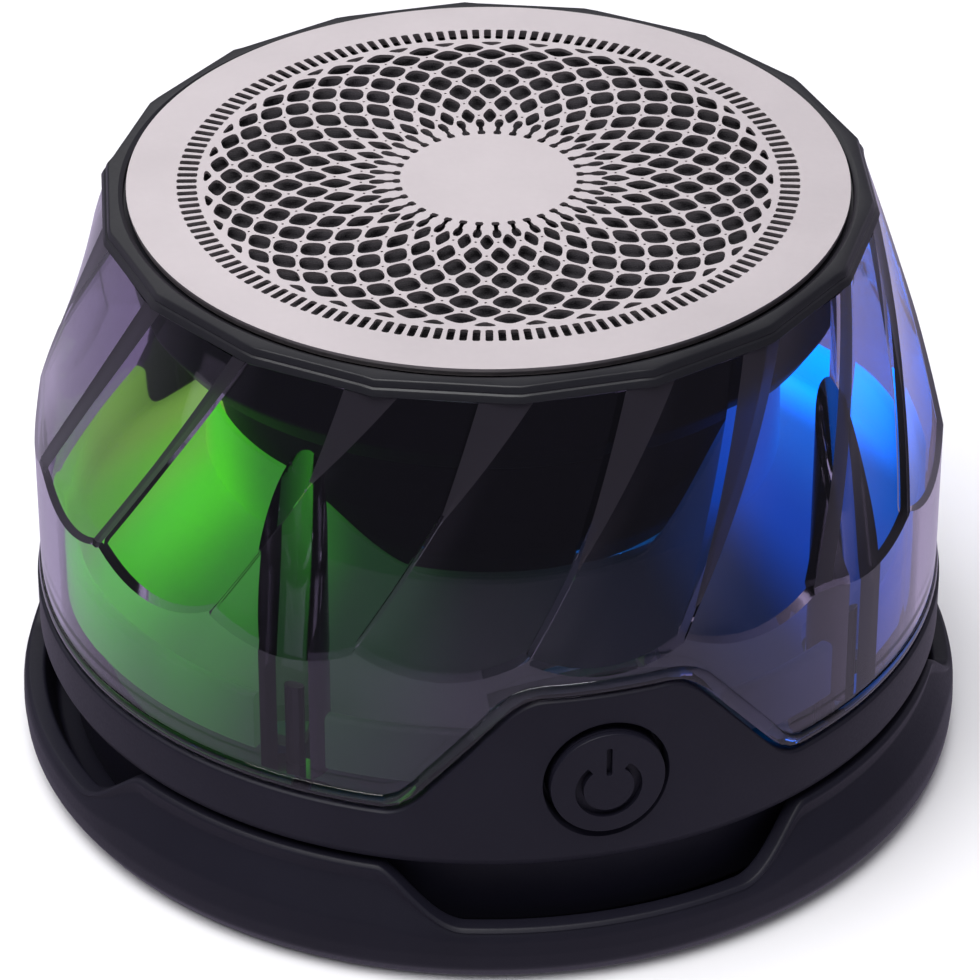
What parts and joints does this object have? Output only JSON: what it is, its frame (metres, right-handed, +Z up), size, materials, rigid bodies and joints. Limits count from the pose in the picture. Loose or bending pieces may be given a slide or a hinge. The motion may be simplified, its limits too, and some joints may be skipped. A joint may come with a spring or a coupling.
{
  "type": "bluetooth audio receiver",
  "caption": "Round tabletop speaker with wireless receiver: dark base with a power button, clear faceted light shell, up-firing driver under a pierced metal grille.",
  "frame": {"origin": "centre of the underside, on the surface that the speaker stands on", "axes": "+Z up through the grille, -Y towards the power button, +X to the right seen from the button"},
  "size_m": [0.0898, 0.0898, 0.0582],
  "materials": {
    "rubber": "matte",
    "soft_black": "soft-touch matte",
    "smoked_clear": "polished clear, smoky tint",
    "gloss_black": "semi-gloss",
    "brushed_metal": "fine matte etched",
    "cloth": "woven",
    "pod_black": "satin",
    "foam": "open cell",
    "plated_steel": "zinc plated",
    "surround_rubber": "satin",
    "cone_paper": "pressed paper",
    "copper_winding": "wound wire",
    "spider_cloth": "resin-dipped weave",
    "ferrite": "ground",
    "terminal_board": "phenolic board",
    "frosted_plastic": "frosted",
    "white_board": "solder mask",
    "green_board": "solder mask",
    "battery_wrap": "foil pouch",
    "shield_can": "tin plated",
    "chip_black": "moulded",
    "socket_plastic": "moulded",
    "port_steel": "bright nickel",
    "button_black": "soft-touch matte",
    "plunger_plastic": "moulded",
    "switch_steel": "stamped",
    "red_wire": "insulated",
    "black_wire": "insulated",
    "led_lens": "clear over white cup",
    "screw_steel": "zinc plated"
  },
  "bodies": {
    "body": {"foot_pad": "rubber", "base_ring": "soft_black", "base_housing": "soft_black", "light_shell": "smoked_clear", "top_bezel": "gloss_black", "grille": "brushed_metal", "grille_cloth": "cloth", "driver_pod": "pod_black", "driver_gasket": "foam", "driver_frame": "plated_steel", "surround": "surround_rubber", "spider": "spider_cloth", "top_plate": "plated_steel", "magnet": "ferrite", "yoke": "plated_steel", "terminal_strip": "terminal_board", "light_diffuser": "frosted_plastic", "led_board": "white_board", "main_board": "green_board", "battery": "battery_wrap", "bluetooth_module": "shield_can", "amplifier_chip": "chip_black", "charger_chip": "chip_black", "speaker_socket": "socket_plastic", "charging_port": "port_steel", "power_switch": "switch_steel", "switch_board": "green_board", "speaker_lead_1": "red_wire", "speaker_lead_2": "black_wire", "led_1": "led_lens", "led_2": "led_lens", "led_3": "led_lens", "led_4": "led_lens", "led_5": "led_lens", "led_6": "led_lens", "led_7": "led_lens", "led_8": "led_lens", "board_spacer_1": "socket_plastic", "case_screw_1": "screw_steel", "ring_screw_1": "screw_steel", "board_screw_1": "screw_steel", "board_spacer_2": "socket_plastic", "case_screw_2": "screw_steel", "ring_screw_2": "screw_steel", "board_screw_2": "screw_steel", "board_spacer_3": "socket_plastic", "case_screw_3": "screw_steel", "ring_screw_3": "screw_steel", "board_screw_3": "screw_steel", "board_spacer_4": "socket_plastic", "case_screw_4": "screw_steel", "ring_screw_4": "screw_steel", "board_screw_4": "screw_steel"},
    "button": {"power_button": "button_black", "switch_plunger": "plunger_plastic"},
    "cone": {"cone": "cone_paper", "dust_cap": "cone_paper", "voice_coil": "copper_winding"}
  },
  "joints": [
    {"name": "power_button_press", "type": "slide", "parent": "body", "child": "button", "axis": [0, 1, 0], "range_m": [0, 0.0005], "stiffness_N_per_m": 1500},
    {"name": "cone_travel", "type": "slide", "parent": "body", "child": "cone", "axis": [0, 0, 1], "range_m": [-0.0015, 0.0015], "stiffness_N_per_m": 2000, "deforming": ["surround", "spider"]}
  ]
}
